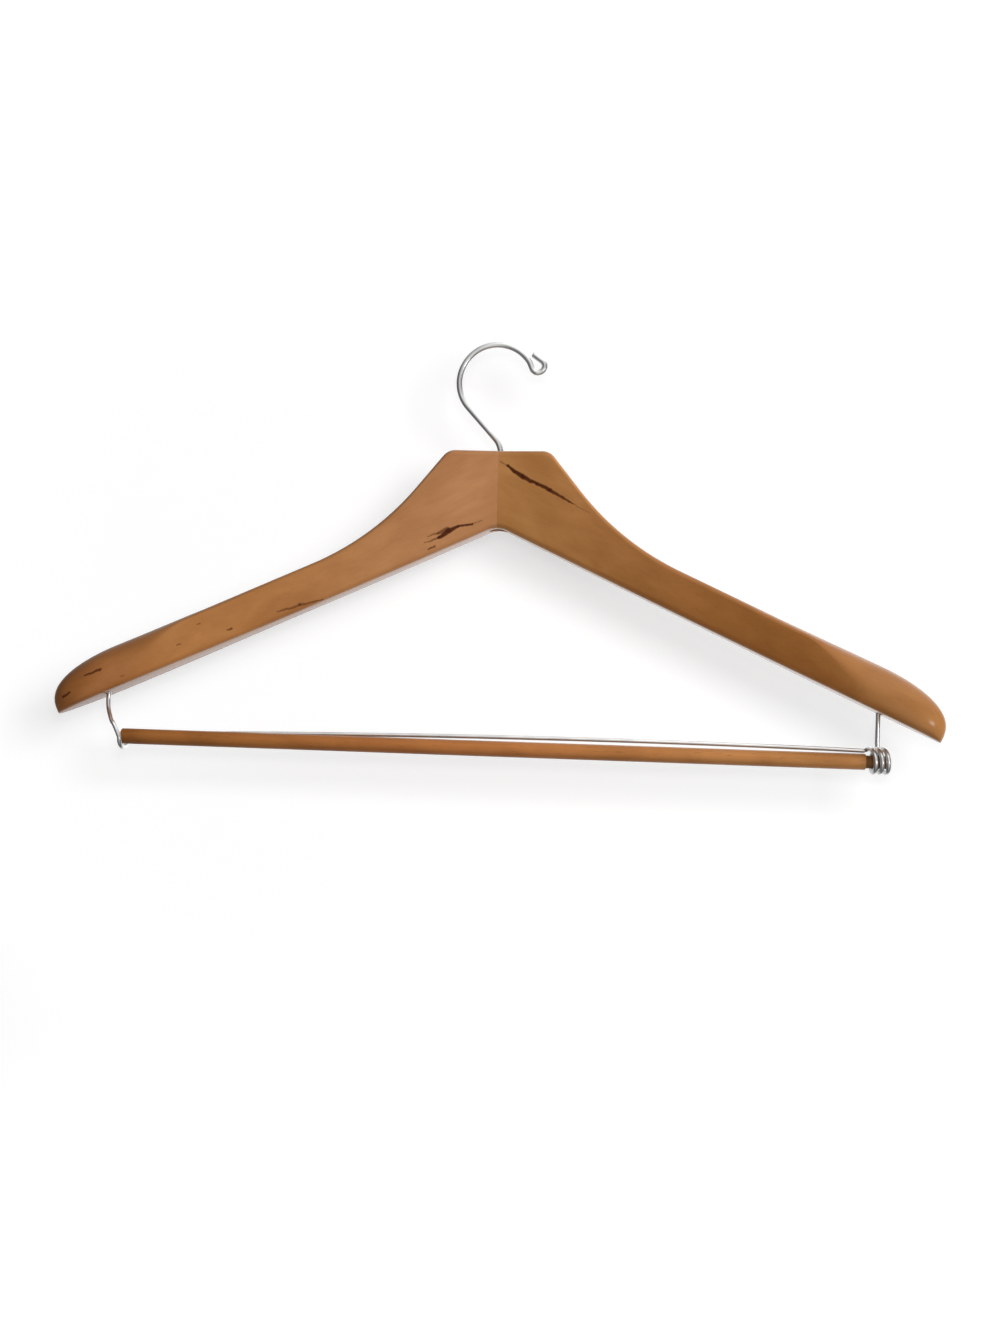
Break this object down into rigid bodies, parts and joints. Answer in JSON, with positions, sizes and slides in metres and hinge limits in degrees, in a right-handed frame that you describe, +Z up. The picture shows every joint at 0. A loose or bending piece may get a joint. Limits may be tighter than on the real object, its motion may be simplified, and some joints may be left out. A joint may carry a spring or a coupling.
{
  "type": "wooden suit hanger",
  "caption": "Contoured wooden suit hanger with flared shoulders, a swivelling wire hook and a round trouser bar that a coiled spring wire holds and clamps.",
  "frame": {"origin": "where a clothes rail carries the hook: the inner top of the crook, on the axis that the hook turns about", "axes": "+Z up along the swivel axis, +X along the arms to the viewer's right, +Y away from the viewer; the arms sweep forward to -Y"},
  "size_m": [0.4446, 0.0577, 0.219],
  "materials": {
    "left_lacquered_wood": "honey-brown stain under satin lacquer",
    "right_lacquered_wood": "darker honey-brown stain under satin lacquer",
    "bar_wood": "stained dowel under thin lacquer",
    "plated_wire": "bright plated steel wire",
    "plated_washer": "plated steel ring"
  },
  "bodies": {
    "hook_body": {"hook": "plated_wire", "hook_washer": "plated_washer"},
    "hanger_body": {"left_arm": "left_lacquered_wood", "right_arm": "right_lacquered_wood", "lock_wire": "plated_wire"},
    "bar_body": {"trouser_bar": "bar_wood"}
  },
  "joints": [
    {"name": "hook_swivel", "type": "hinge", "parent": "hook_body", "child": "hanger_body", "pos_m": [0, 0, -0.0553], "axis": [0, 0, 1], "continuous": true},
    {"name": "bar_swing", "type": "hinge", "parent": "hanger_body", "child": "bar_body", "pos_m": [0.19251, -0.03129, -0.2087], "axis": [0.9992, 0.0372, -0.0126], "range_deg": [0, 180]}
  ]
}
